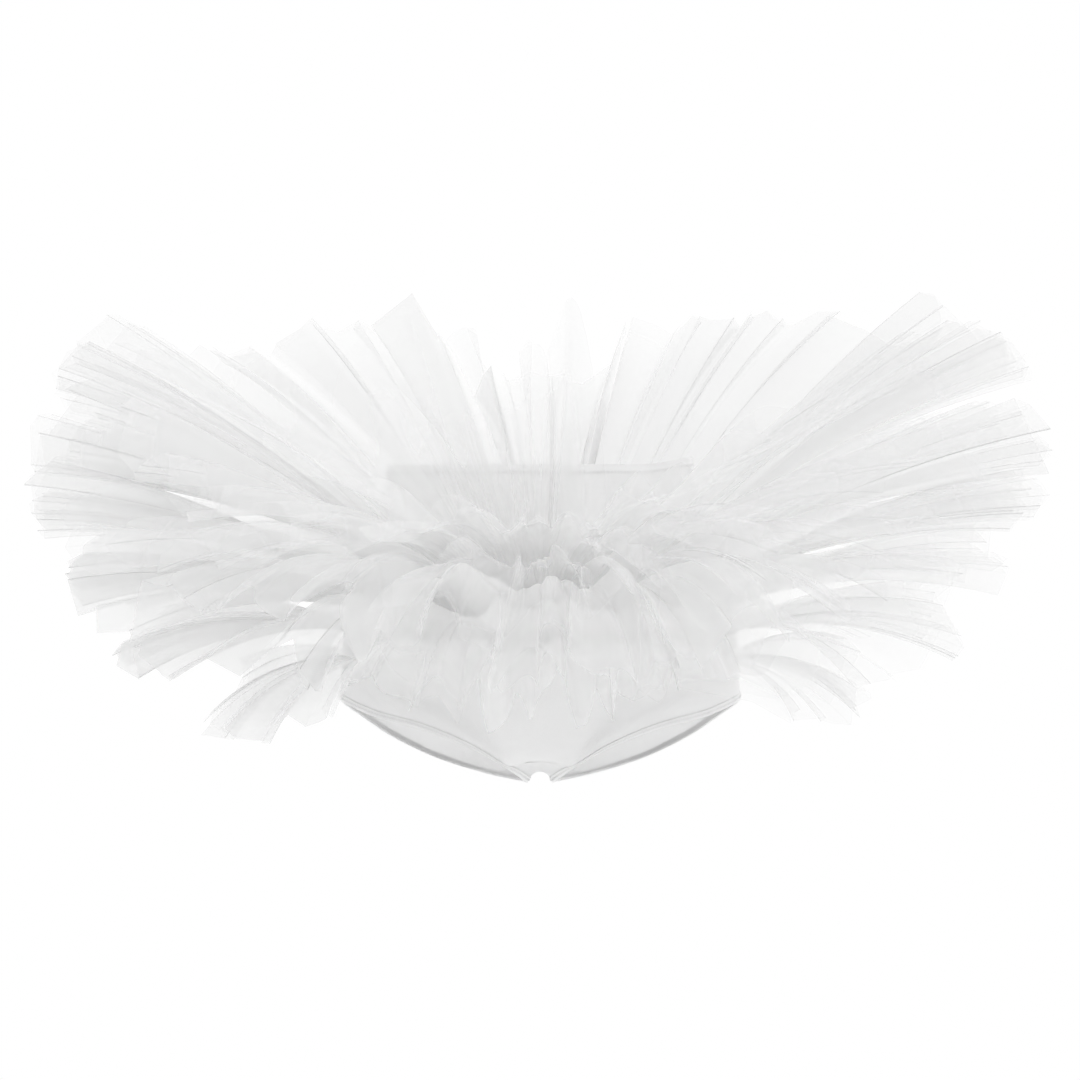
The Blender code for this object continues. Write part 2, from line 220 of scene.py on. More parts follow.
def flat_places(points, closed):
    """Each corner's place on the flat cloth, in metres: along the strip, and down from its top."""
    hem = points[-1]
    if closed:
        hem = np.concatenate([hem, hem[:1]])
    middle = points[:, points.shape[1] // 2]
    steps = (np.linalg.norm(np.diff(line, axis=0), axis=1) for line in (hem, middle))
    return tuple(np.concatenate([[0], np.cumsum(lengths)]) for lengths in steps)


def new_object(name, data):
    """A new object of the scene, at the origin."""
    obj = bpy.data.objects.new(name, data)
    bpy.context.scene.collection.objects.link(obj)
    return obj


def cloth_object(name, points, closed, values=None):
    """A smooth-shaded cloth from a grid of points; its UV map gives metres on the flat cloth."""
    row_count, column_count, _ = points.shape
    faces = grid_faces(row_count, column_count, closed)
    mesh = bpy.data.meshes.new(name)
    mesh.from_pydata(points.reshape(-1, 3).tolist(), [], faces.tolist())
    mesh.shade_smooth()
    across, down = flat_places(points, closed)
    row, column = np.divmod(faces[:, :1], column_count)
    flat = np.stack([across[column + (0, 0, 1, 1)], -down[row + (0, 1, 1, 0)]], -1)
    layer = mesh.uv_layers.new(name="flat")
    layer.data.foreach_set("uv", flat.ravel())
    for label, numbers in (values or {}).items():
        attribute = mesh.attributes.new(label, "FLOAT", "POINT")
        attribute.data.foreach_set("value", numbers.ravel())
    return new_object(name, mesh)


def settle(obj):
    """Turns an object and its modifiers into a plain mesh."""
    evaluated = obj.evaluated_get(bpy.context.evaluated_depsgraph_get())
    mesh = bpy.data.meshes.new_from_object(evaluated)
    mesh.name = obj.name
    old = obj.data
    obj.modifiers.clear()
    obj.data = mesh
    if old.users == 0:
        bpy.data.meshes.remove(old)
    return obj


def give_wall(obj, wall):
    """Gives an open cloth its thickness, half to each side."""
    thickness = obj.modifiers.new("thickness", "SOLIDIFY")
    thickness.thickness = wall
    thickness.offset = 0
    thickness.use_even_offset = True
    return settle(obj)


def place_piece(obj, material, slot, *nodes):
    """Finishes a piece: its material, the body it rides on and the nodes it stands for."""
    obj.data.materials.clear()
    obj.data.materials.append(material)
    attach(obj, BODY)
    if nodes:
        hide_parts(*nodes)
    return obj


# ---------------------------------------------------------------- node trees


def both_ways(operation):
    """An operator and its reflected form, each as a Math node."""
    return (
        lambda self, other: self.maths(operation, self, other),
        lambda self, other: self.maths(operation, other, self),
    )


class Wire:
    """A node's output that takes part in Python arithmetic by adding Math nodes."""

    def __init__(self, tree, socket):
        self.tree = tree
        self.socket = socket

    def maths(self, operation, *values, clamp=False):
        settings = {"operation": operation, "use_clamp": clamp}
        return self.tree.node("ShaderNodeMath", settings, at=dict(enumerate(values)))

    __add__, __radd__ = both_ways("ADD")
    __sub__, __rsub__ = both_ways("SUBTRACT")
    __mul__, __rmul__ = both_ways("MULTIPLY")
    __pow__, __rpow__ = both_ways("POWER")
    __mod__, __rmod__ = both_ways("MODULO")

    def wave(self):
        return self.maths("SINE", self)

    def clamped(self):
        return self.maths("ADD", self, 0.0, clamp=True)

    def all_outputs(self):
        """Every output of the wire's node."""
        return [Wire(self.tree, output) for output in self.socket.node.outputs]


class Tree:
    """A node tree that is built node by node."""

    def __init__(self, tree):
        self.tree = tree
        self.tree.nodes.clear()

    def node(self, kind, settings=None, output=0, at=None, **sockets):
        """Adds a node: its settings first, then the values or links of its sockets."""
        node = self.tree.nodes.new(kind)
        for name, value in (settings or {}).items():
            setattr(node, name, value)
        named = {name.replace("_", " "): value for name, value in sockets.items()}
        for place, value in {**(at or {}), **named}.items():
            self.feed(node.inputs[place], value)
        return Wire(self, node.outputs[output]) if node.outputs else None

    def feed(self, socket, value):
        """Links a wire to a socket, or sets the socket's value."""
        if isinstance(value, Wire):
            self.tree.links.new(value.socket, socket)
        else:
            socket.default_value = value


class Finish(Tree):
    """The nodes of a material, or of the room's light."""

    def __init__(self, owner):
        self.owner = owner
        self.owner.use_nodes = True
        super().__init__(self.owner.node_tree)

    def flat_place(self):
        """Metres along the cloth and down it."""
        place = self.node("ShaderNodeUVMap", {"uv_map": "flat"})
        return self.node("ShaderNodeSeparateXYZ", Vector=place).all_outputs()[:2]

    def room_place(self, output):
        """The three parts of a place, as Texture Coordinate gives it."""
        place = self.node("ShaderNodeTexCoord", output=output)
        return self.node("ShaderNodeSeparateXYZ", Vector=place).all_outputs()

    def attribute(self, name):
        return self.node("ShaderNodeAttribute", {"attribute_name": name}, output="Fac")

    def noise(self, along, down, grain, detail=2.0):
        place = self.node("ShaderNodeCombineXYZ", X=along * grain[0], Y=down * grain[1])
        return self.node("ShaderNodeTexNoise", Vector=place, Scale=1.0, Detail=detail)

    def between(self, share, low, high):
        """A colour between two greys."""
        greys = {6: (low, low, low, 1), 7: (high, high, high, 1)}
        return self.node("ShaderNodeMix", {"data_type": "RGBA"}, output=2, at=greys, Factor=share)

    def bump(self, height, distance):
        return self.node("ShaderNodeBump", Height=height, Distance=distance, Strength=1.0)

    def surface(self, **sockets):
        """Ends a material with one Principled shader."""
        shader = self.node("ShaderNodeBsdfPrincipled", **sockets)
        self.node("ShaderNodeOutputMaterial", Surface=shader)
        return self.owner


# ---------------------------------------------------------------- finishes

CORD_PITCH = 0.0011
WEFT_PITCH = 0.0007
TWIST_PITCH = 0.0009
COURSE_SHARE = 1.3  # of the wale spacing, from one course of the knit to the next
# Spots of a pattern in a metre, along the cloth and down it.
PULL_GRAIN = (26.0, 11.0)
SPECK_GRAIN = (900.0, 700.0)
WEAR_GRAIN = (60.0, 60.0)


def net_finish(look):
    """Stiff see-through net: a fine mesh of threads, thicker where gathered or creased, and painted
    darker along its creases as painted shade.
    """
    finish = Finish(bpy.data.materials.new("stiff_net"))
    along, down = finish.flat_place()
    turn = 2 * math.pi / look.mesh_pitch
    slant = turn * math.sqrt(3) / 2
    threads = (
        (along * turn).wave()
        + (along * (-turn / 2) + down * slant).wave()
        + (along * (-turn / 2) - down * slant).wave()
    )
    holes = (threads * 0.2 + 0.5).clamped()
    crease = finish.attribute("crease")
    gather = finish.attribute("gather")
    seen_through = (1 - look.cover) ** gather
    cover = (1 - seen_through) * (0.95 + 0.10 * holes)
    alpha = (cover + crease * (1 - cover) * look.crease_cover).clamped()
    return finish.surface(
        # Painted shade: the net's grey is painted darker along the crease lines, as shade in the folds.
        Base_Color=finish.between(crease.clamped(), look.shade, look.shade * look.crease_painted_shade),
        Roughness=0.85,
        Specular_IOR_Level=0.15,
        Alpha=alpha,
    )


def knit_finish(look):
    """White stretch knit with a soft sheen, fine ribs and pull wrinkles."""
    finish = Finish(bpy.data.materials.new("stretch_knit"))
    along, down = finish.flat_place()
    ribs = (along * (2 * math.pi / look.wale)).wave()
    courses = (down * (2 * math.pi / (COURSE_SHARE * look.wale))).wave()
    pulls = finish.noise(along, down, PULL_GRAIN)
    specks = finish.noise(along, down, SPECK_GRAIN, detail=1.0)
    height = pulls * 2.2 + ribs * 0.035 + courses * 0.02
    return finish.surface(
        Base_Color=finish.between(
            (pulls * 0.6 + specks * 0.4).clamped(), look.shade * 0.95, look.shade * 1.04
        ),
        Roughness=(0.36 + pulls * 0.16).clamped(),
        Specular_IOR_Level=0.45,
        Subsurface_Weight=0.9,
        Subsurface_Radius=(1.0, 1.0, 1.0),
        Subsurface_Scale=look.glow_depth,
        Sheen_Weight=0.25,
        Sheen_Roughness=0.5,
        Normal=finish.bump(height, look.wrinkle),
    )


def band_finish(look):
    """Woven elastic: lengthwise cords crossed by fine weft."""
    finish = Finish(bpy.data.materials.new("ribbed_elastic"))
    along, down = finish.flat_place()
    cords = (down * (2 * math.pi / CORD_PITCH)).wave()
    weft = (along * (2 * math.pi / WEFT_PITCH)).wave()
    wear = finish.noise(along, down, WEAR_GRAIN)
    return finish.surface(
        Base_Color=finish.between((cords * 0.25 + wear).clamped(), look.shade * 0.95, look.shade * 1.04),
        Roughness=(0.55 + wear * 0.2).clamped(),
        Subsurface_Weight=0.3,
        Subsurface_Radius=(1.0, 1.0, 1.0),
        Subsurface_Scale=look.glow_depth,
        Normal=finish.bump(cords + weft * 0.4, 0.0001),
    )


def thread_finish(look):
    """Polyester sewing thread with its twist."""
    finish = Finish(bpy.data.materials.new("sewing_thread"))
    x, y, z = finish.room_place("Object")
    twist = ((x + y + z) * (2 * math.pi / TWIST_PITCH)).wave()
    return finish.surface(
        Base_Color=finish.between((twist * 0.5 + 0.5).clamped(), look.shade * 0.82, look.shade * 1.05),
        Roughness=(0.45 + twist * 0.1).clamped(),
    )


def floor_finish():
    """A matt pale floor with a faint mottle."""
    finish = Finish(bpy.data.materials.new("pale_floor"))
    place = finish.node("ShaderNodeTexCoord", output="Object")
    mottle = finish.node("ShaderNodeTexNoise", Vector=place, Scale=1.5, Detail=2.0)
    return finish.surface(
        Base_Color=finish.between(mottle, 0.90, 0.93), Roughness=0.9, Specular_IOR_Level=0.1
    )


def studio_world(look):
    """A white room lit softly from all round, brighter to the right, behind and above."""
    finish = Finish(bpy.data.worlds.new("studio"))
    x, y, z = finish.room_place("Generated")
    light = (x * look.from_right + y * look.from_behind + z * look.from_above + 1) * look.sky
    seen = finish.node("ShaderNodeLightPath", output="Is Camera Ray")
    strength = light + seen * (look.backdrop - light)
    room = finish.node("ShaderNodeBackground", Color=(1, 1, 1, 1), Strength=strength)
    finish.node("ShaderNodeOutputWorld", Surface=room)
    return finish.owner


# ---------------------------------------------------------------- the brief

PANEL_COLUMNS = 112
SEAM_SHARE = 3 / 14  # of a panel's columns, those that end on the gusset
TORSO_ROWS = 26  # above the split
TURN_ROWS = 22  # from the split to the elastic
HEM_ROWS = 4
GUSSET_ROWS = 41
GUSSET_COLUMNS = 14
LEG_PASSES = (3, 8, 6)  # smoothings of a leg's edge, of its inner line and of its directions
BAND_ROWS = 9
WAIST_STEP = 0.0005  # how far the turned edge stands out
WAIST_STEP_RUN = 0.0012
RIPPLE = 0.0007  # height of the soft ripples under the waist
RIPPLE_RATE = 0.21  # radians of a ripple for a degree round the body
RIPPLE_SLANT = 60  # radians of a ripple for a metre down
RIPPLE_REACH = (-0.06, -0.02)  # heights where the ripples begin and are full
LIFT_REACH = (-0.05, 0.0)  # the same for the lifted corner
CORNER_START = (48, 84)  # degrees round the body where the lifted corner begins and is full
CORNER_END = (96, 128)  # and where it begins to fall and ends

# Small pull wrinkles: their two ends on the front panel (x, z), width and depth.
Pull = namedtuple("Pull", "x_start z_start x_end z_end width depth")
PULLS = (
    Pull(0.026, -0.248, 0.012, -0.262, 0.0040, 0.0014),
    Pull(-0.021, -0.250, -0.009, -0.262, 0.0040, 0.0014),
    Pull(0.044, -0.240, 0.018, -0.256, 0.0045, 0.0008),
    Pull(-0.040, -0.240, -0.015, -0.255, 0.0045, 0.0008),
    Pull(-0.128, -0.196, -0.070, -0.214, 0.0060, 0.0010),
    Pull(0.130, -0.196, 0.078, -0.212, 0.0060, 0.0010),
    Pull(-0.145, -0.186, -0.100, -0.196, 0.0070, 0.0009),
    Pull(0.146, -0.188, 0.104, -0.197, 0.0070, 0.0009),
    Pull(-0.030, -0.205, 0.034, -0.203, 0.0080, 0.0007),
    Pull(-0.118, -0.006, -0.076, -0.040, 0.0050, 0.0011),
    Pull(0.112, -0.004, 0.070, -0.030, 0.0050, 0.0009),
    Pull(0.060, -0.010, 0.020, -0.030, 0.0060, 0.0005),
)


def normals_of(points):
    """Outward directions of an open grid of points."""
    down, across = np.gradient(points, axis=(0, 1))
    return unit(np.cross(down, across))


def gusset_point(rib, across):
    """A point of one rib of the gusset; across is -1 at its left edge and 1 at its right."""
    drop = (rib.edge_height - rib.crown_height) * across**2
    return np.array((rib.half_width * across, rib.y, rib.crown_height + drop))


def panel_column(azimuth, bottom, inward, facing):
    """One line of a panel, down the torso and then curving in to its lower edge."""
    heights = np.linspace(0, SPLIT_HEIGHT, TORSO_ROWS)
    upper = torso_point(heights, azimuth)
    start = upper[-1]
    just_above = torso_point(SPLIT_HEIGHT + SLOPE_STEP, azimuth)
    reach = np.linalg.norm(bottom - start)
    start_slope = reach * unit(start - just_above)
    turn_in = -facing * CROTCH_TURN[0] * inward**2
    drop = CROTCH_TURN[1] * inward - (1 - inward)
    end_slope = reach * unit(np.array((0, turn_in, drop)))
    hem_share = 1 - ELASTIC_WIDTH / reach
    shares = np.concatenate(
        [
            np.linspace(0, hem_share, TURN_ROWS + 1)[1:],
            np.linspace(hem_share, 1, HEM_ROWS + 1)[1:],
        ]
    )[:, None]
    s2, s3 = shares**2, shares**3
    lower = (
        (2 * s3 - 3 * s2 + 1) * start
        + (s3 - 2 * s2 + shares) * start_slope
        + (3 * s2 - 2 * s3) * bottom
        + (s3 - s2) * end_slope
    )
    return np.concatenate([upper, lower])


def panel(leg, rib, facing):
    """The grid of the front (facing -1) or back (facing 1) panel, waist row first."""
    columns = []
    for i in range(-PANEL_COLUMNS // 2, PANEL_COLUMNS // 2 + 1):
        place = 2 * i / PANEL_COLUMNS
        quarter_turn = math.pi / 2 * place
        azimuth = quarter_turn if facing < 0 else math.pi - quarter_turn
        inward = min(1.0, (1 - abs(place)) / (1 - SEAM_SHARE))
        if inward < 1:
            edge = along_table(leg, inward)
            bottom = np.array((math.copysign(edge.out, place), facing * edge.depth, edge.height))
        else:
            bottom = gusset_point(rib, place / SEAM_SHARE)
        columns.append(panel_column(azimuth, bottom, inward, facing))
    grid = np.stack(columns, axis=1)
    return grid[:, ::-1] if facing > 0 else grid


def gusset_grid():
    """The gusset's grid, front seam first, with closer columns along its leg edges."""
    rows = []
    for k in range(GUSSET_ROWS):
        rib = along_table(GUSSET, k / (GUSSET_ROWS - 1))
        flank = math.hypot(rib.half_width, 2 * (rib.crown_height - rib.edge_height))
        inner = 1 - ELASTIC_WIDTH / flank
        hem = np.linspace(inner, 1, HEM_ROWS + 1)
        places = np.concatenate([-hem[::-1], np.linspace(-inner, inner, GUSSET_COLUMNS + 1)[1:-1], hem])
        rows.append(np.stack([gusset_point(rib, across) for across in places]))
    return np.stack(rows)


def wrinkled(points, facing, look):
    """A panel with its turned waist edge, its lifted right corner and its pull wrinkles."""
    outward = normals_of(points)
    height = points[..., 2]
    azimuth = np.degrees(np.arctan2(points[..., 0], -points[..., 1]))
    ripples = np.sin(azimuth * RIPPLE_RATE + height * RIPPLE_SLANT)
    relief = WAIST_STEP * smoothstep(-WAIST_TURN - WAIST_STEP_RUN, -WAIST_TURN, height)
    relief += RIPPLE * ripples * smoothstep(*RIPPLE_REACH, height)
    if facing < 0:
        for pull in PULLS:
            start = np.array((pull.x_start, pull.z_start))
            run = np.array((pull.x_end, pull.z_end)) - start
            at = np.stack([points[..., 0], height], -1) - start
            share = (at @ run) / (run @ run)
            aside = (at @ np.array((-run[1], run[0]))) / np.linalg.norm(run) / pull.width
            swell = np.exp(-(aside**2)) - 0.5 * np.exp(-((aside - 1.6) ** 2))
            relief += pull.depth * swell * np.clip(4 * share * (1 - share), 0, 1)
    moved = points + outward * relief[..., None]
    corner = smoothstep(*CORNER_START, azimuth) * (1 - smoothstep(*CORNER_END, azimuth))
    moved[..., 2] += look.waist_lift * corner * smoothstep(*LIFT_REACH, height)
    return moved


def brief_grids(look):
    """The grids of the front and back panels with their wrinkles, and of the gusset."""
    front = wrinkled(panel(FRONT_LEG, GUSSET[0], -1), -1, look)
    back = wrinkled(panel(BACK_LEG, GUSSET[-1], 1), 1, look)
    return front, back, gusset_grid()


def smoothed_loop(points, passes):
    for _ in range(passes):
        points = (np.roll(points, 1, axis=0) + 2 * points + np.roll(points, -1, axis=0)) / 4
    return points


def leg_edge(side, front, back, gusset):
    """Smoothed lines round one leg: edge, an elastic's width in, and outward directions."""
    reach = round(PANEL_COLUMNS * (1 - SEAM_SHARE) / 2)
    pieces = []
    for grid, from_left in ((front, True), (back, False)):
        columns = np.arange(reach + 1)
        if (side < 0) != from_left:
            columns = grid.shape[1] - 1 - columns
        outward = normals_of(grid)
        pieces.append((grid[-1, columns], grid[-1 - HEM_ROWS, columns], outward[-1, columns]))
    column, inner_column = (0, HEM_ROWS) if side < 0 else (-1, -1 - HEM_ROWS)
    outward = normals_of(gusset)
    middle = (gusset[1:-1, column], gusset[1:-1, inner_column], outward[1:-1, column])
    down_front, up_back = pieces[0], [part[::-1][:-1] for part in pieces[1]]
    loops = (np.concatenate(parts) for parts in zip(down_front, middle, up_back))
    edge, inner, outward = map(smoothed_loop, loops, LEG_PASSES)
    return edge, inner, unit(outward)


class TUTU_OT_brief(bpy.types.Operator):
    """Makes the stretch brief's front, back and gusset"""

    bl_idname = "tutu.brief"
    bl_label = "Stretch brief"

    def execute(self, context):
        look = context.scene.tutu_brief
        material = knit_finish(look)
        front, back, gusset = brief_grids(look)
        cuts = (
            ("brief_front_knit", front, "brief_front", (0.47, 0.31)),
            ("brief_back_knit", back, "brief_back", (0.50, 0.36)),
            ("gusset_knit", gusset, "gusset", (0.125, 0.085)),
        )
        for name, grid, node, flat in cuts:
            obj = give_wall(cloth_object(name, grid, closed=False), look.wall)
            place_piece(obj, material, "brief", node)
        return {"FINISHED"}


class TUTU_OT_elastics(bpy.types.Operator):
    """Makes the narrow elastic round each leg opening"""

    bl_idname = "tutu.elastics"
    bl_label = "Leg elastics"

    def execute(self, context):
        look = context.scene.tutu_elastic
        material = band_finish(look)
        grids = brief_grids(context.scene.tutu_brief)
        for side, word in ((-1, "left"), (1, "right")):
            edge, inner, outward = leg_edge(side, *grids)
            rows = []
            for share in np.linspace(0, 1, BAND_ROWS):
                lift = look.lift + look.crown * (1 - (2 * share - 1) ** 4)
                rows.append(edge + (inner - edge) * share + outward * lift)
            rows = np.stack(rows[::-1])
            if side > 0:
                rows = rows[:, ::-1]
            obj = cloth_object(f"leg_elastic_{word}_band", rows, closed=True)
            give_wall(obj, look.wall)
            place_piece(obj, material, "elastic", f"leg_elastic_{word}")
        return {"FINISHED"}


# ---------------------------------------------------------------- the net

NET_ROWS = 15
SEAM_RADIUS = 0.155  # about how far from the body's middle the nets are sewn on

# Where a fold's strip lies in a pleat over itself: how far it laps at the hem.
Lap = namedtuple("Lap", "earliest latest least most")
LAPS = (
    Lap(0.06, 0.40, 0.010, 0.034),
    Lap(0.56, 0.90, 0.004, 0.022),
)
LAP_GAP = 0.024  # between a lap's two creases, as a share of the fold

# The front folds are ruffled: degrees from the centre front, and columns more for each fold.
FRONT_REACH = 34
FRONT_LINES = 12

# The waves of a ruffle at the hem: pitch and height in metres, how far they turn, in degrees,
# and how much they change the cut, in metres.
Ruffle = namedtuple("Ruffle", "pitch height turn trim")
RUFFLES = (
    Ruffle(0.043, 0.0120, 2.0, 0.007),
    Ruffle(0.024, 0.0080, 1.5, 0.005),
)
# How fast a ruffle's height, turn and cut vary, beside its waves.
HEIGHT_RATE, TURN_RATE, TRIM_RATE = 0.37, 0.71, 0.83

# A main fold: its start and width round the body, the height of its wave and its cut.
Fold = namedtuple("Fold", "start width wave cut")
# A crease within a fold, before chance has moved it: its place in the fold, how far it laps,
# how sharp it is (how much cover it adds and how dark its painted shade is), how far it stands off the
# fold, and where it starts between seam and hem.
Mark = namedtuple("Mark", "place shift strength pleat start")
# A crease as laid: how far it leans, laps, stands off, is cut, bows and is lifted besides.
Crease = namedtuple("Crease", "azimuth sway shift pleat cut start strength bow lift")
LAP_SHARPNESS = (0.35, 0.9)
LAP_UNDER = 0.4  # how sharp a lap's lower crease is, beside its upper one
LAP_PLEAT = 0.6  # of a light crease's height off the fold
LIGHT_SHARPNESS = (0.1, 0.2, 0.5)
LIGHT_PLACES = (0.02, 0.98)
LATE_STARTS = (0.15, 0.65)  # of the light creases that don't start at the seam
LATE_SHARPNESS = 0.15
CUT_SPREAD = 0.0007
BOW_SPREAD = 0.004

# How much closer than even each tier is gathered round the body, by azimuth in degrees.
Closeness = namedtuple("Closeness", "azimuth upper middle lower")
CLOSENESS = (
    Closeness(0, 0.35, 0.3, 2.6),
    Closeness(20, 0.35, 0.3, 2.4),
    Closeness(45, 0.3, 0.3, 0.9),
    Closeness(70, 0.4, 0.5, 0.5),
    Closeness(95, 0.5, 0.7, 0.6),
    Closeness(120, 1.8, 0.9, 0.5),
    Closeness(150, 3.6, 1.6, 0.5),
    Closeness(180, 2.4, 1.6, 0.5),
    Closeness(197, 1.6, 1.6, 0.5),
    Closeness(203, 1.6, 1.6, 0.5),
    Closeness(214, 3.6, 1.6, 0.5),
    Closeness(240, 0.3, 0.8, 1.2),
    Closeness(262, -0.2, 0.8, 2.0),
    Closeness(285, 0.2, 1.3, 2.8),
    Closeness(310, 0.2, 1.1, 2.6),
    Closeness(335, 0.3, 0.4, 2.4),
    Closeness(360, 0.35, 0.3, 2.6),
)

# Places where a layer is pushed down or pulled up: azimuth and half-width in degrees, metres.
Push = namedtuple("Push", "layer azimuth half_width rise")
PUSHES = (
    Push(1, -26.5, 6.5, -0.120),
    Push(1, 1.0, 3.0, -0.020),
    Push(1, 4.6, 1.8, 0.060),
    Push(1, 83.0, 6.0, -0.020),
    Push(1, 125.0, 9.0, -0.030),
    Push(1, 165.5, 2.2, 0.022),
    Push(1, 188.0, 3.0, -0.030),
    Push(1, 193.0, 3.0, 0.022),
    Push(1, 199.5, 2.2, 0.042),
    Push(1, 241.0, 7.0, -0.030),
    Push(2, -24.0, 14.0, -0.034),
    Push(2, -2.0, 7.0, 0.014),
    Push(2, 27.0, 6.0, 0.020),
    Push(2, 83.0, 8.0, -0.022),
    Push(2, 104.0, 8.0, 0.012),
    Push(2, 262.0, 9.0, -0.034),
    Push(3, -30.0, 6.0, 0.018),
    Push(3, -19.0, 5.0, -0.022),
    Push(3, 0.0, 24.0, 0.004),
    Push(3, 86.0, 12.0, 0.020),
    Push(3, 101.0, 6.0, 0.018),
    Push(3, 276.0, 12.0, 0.026),
    Push(3, 303.0, 16.0, -0.044),
    Push(4, -29.0, 6.0, 0.018),
    Push(4, 26.0, 6.0, 0.018),
    Push(4, 94.0, 9.0, 0.016),
    Push(4, 262.0, 9.0, 0.022),
    Push(4, 296.0, 14.0, -0.044),
    Push(5, 56.0, 12.0, -0.028),
    Push(5, 98.0, 10.0, 0.044),
    Push(5, 252.0, 10.0, 0.026),
    Push(5, 284.0, 7.0, -0.008),
    Push(5, 306.0, 12.0, -0.024),
    Push(6, -28.0, 20.0, 0.016),
    Push(6, 26.0, 18.0, 0.014),
    Push(6, 47.0, 10.0, -0.030),
    Push(6, 76.0, 8.0, 0.020),
    Push(6, 104.0, 12.0, 0.040),
    Push(6, 250.0, 12.0, 0.045),
)

# Where the hem was trimmed shorter (or left longer), in metres.
Trim = namedtuple("Trim", "layer azimuth half_width extra")
TRIMS = (
    Trim(1, 270.0, 24.0, -0.016),
    Trim(4, 3.0, 22.0, -0.020),
    Trim(5, 3.0, 34.0, -0.056),
    Trim(6, 0.0, 44.0, -0.070),
    Trim(2, 104.0, 6.0, -0.026),
    Trim(2, 266.0, 14.0, -0.018),
    Trim(3, 92.0, 14.0, -0.016),
    Trim(3, 272.0, 10.0, -0.008),
    Trim(4, 92.0, 10.0, -0.006),
    Trim(5, 268.0, 14.0, 0.012),
    Trim(6, 92.0, 22.0, -0.022),
    Trim(6, 272.0, 14.0, 0.014),
)

LOBE_REACH = 0.3  # how much of a lobe reaches past the even hem
STEEPEST = 0.95  # the most that a strip rises or falls, as a share of its depth
FRONT_EASE = (0.45, 0.85)  # cosines of the azimuths where the front begins and is full
BACK_EASE = (0.3, 0.8)  # the same for the back
RUFFLE_EASE = (0.80, 0.96)  # the same for the front's ruffles
CLOUD_ROWS = 5  # of the mottle, from seam to hem
CLOUD_WIDTH = 14  # columns of the net for one of the mottle
CLOUD_STRENGTH = 0.25
CREASE_OPENING = 0.15  # of the strip, from a crease's start to its full sharpness
PLEAT_OPENING = 0.3  # the same, to its full height off the fold
HEM_SOFTER = 0.35  # how much less sharp a crease is at the hem
FRONT_SOFTER = 0.8  # the same, in front
LOOSE = (0.25, 1.0)  # shares of the strip where ruffles begin and are full
SEAM_THINNER = (0, 0.16)  # shares of the strip where the cover rises from the seam
HEM_THINNER = (0.7, 1.0)  # and where it falls to the hem

# Points of the front folds that hang or stand out: metres down (or up) at the hem.
TIP_LENGTH = 1.4  # how much longer than the hem a point is, for each metre it drops
TIP_GROWTH = 1.6  # how late, from seam to hem, a point leaves its fold
Tip = namedtuple("Tip", "layer azimuth half_width drop")
TIPS = (
    Tip(6, -9.0, 3.6, 0.022),
    Tip(6, -2.0, 3.0, 0.012),
    Tip(6, 8.0, 2.8, 0.024),
    Tip(6, 14.5, 2.6, 0.026),
    Tip(6, -22.0, 4.0, 0.012),
    Tip(6, 22.0, 3.5, 0.014),
    Tip(5, -1.0, 3.0, 0.014),
    Tip(5, 4.1, 2.8, 0.020),
    Tip(5, -13.9, 4.0, 0.016),
    Tip(5, -30.0, 4.0, 0.014),
    Tip(4, -4.4, 2.6, 0.018),
    Tip(4, 9.0, 2.8, 0.016),
    Tip(2, 5.0, 2.4, 0.015),
    Tip(2, -4.0, 2.6, -0.012),
)


def main_folds(number, layer):
    """The solid's folds of a layer: where each starts, its width, its wave and its cut."""
    chance = random.Random(number)
    widths = [1 + FOLD_UNEVENNESS * chance.uniform(-1, 1) for _ in range(layer.folds)]
    turn = 2 * math.pi / sum(widths)
    start = 0.0
    folds = []
    for width in widths:
        wave = layer.fold_depth * (1 - FOLD_UNEVENNESS * chance.random())
        cut = layer.depth + HEM_TRIM * chance.uniform(-0.5, 0.5)
        folds.append(Fold(turn * start, turn * width, wave, cut))
        start += width
    return folds


def fold_marks(fold, hem_radius, chance):
    """The creases of one fold, in order along it: laps in pairs, and lighter ones between."""
    middle = (math.degrees(fold.start + fold.width / 2) + 180) % 360 - 180
    in_front = abs(middle) < FRONT_REACH
    lap_count = 0 if in_front else chance.choice((1, 2, 2, 2))
    marks = []
    for lap in LAPS[:lap_count]:
        centre = chance.uniform(lap.earliest, lap.latest)
        reach = chance.uniform(lap.least, lap.most) / 2 / hem_radius
        strength = chance.uniform(*LAP_SHARPNESS)
        marks.append(Mark(centre - LAP_GAP / 2, reach, strength, LAP_PLEAT, 0.0))
        marks.append(Mark(centre + LAP_GAP / 2, -reach, strength * LAP_UNDER, LAP_PLEAT, 0.0))
    for _ in range(chance.choice((0, 1, 2, 3))):
        place = chance.uniform(*LIGHT_PLACES)
        start = chance.choice((0.0, 0.0, chance.uniform(*LATE_STARTS)))
        strength = LATE_SHARPNESS if start else chance.choice(LIGHT_SHARPNESS)
        marks.append(Mark(place, 0.0, strength, 1.0, start))
    if in_front:
        lines = ((n + 0.5) / FRONT_LINES for n in range(FRONT_LINES))
        marks += [Mark(place, 0.0, 0.0, LAP_PLEAT, 0.0) for place in lines]
    return sorted(marks)


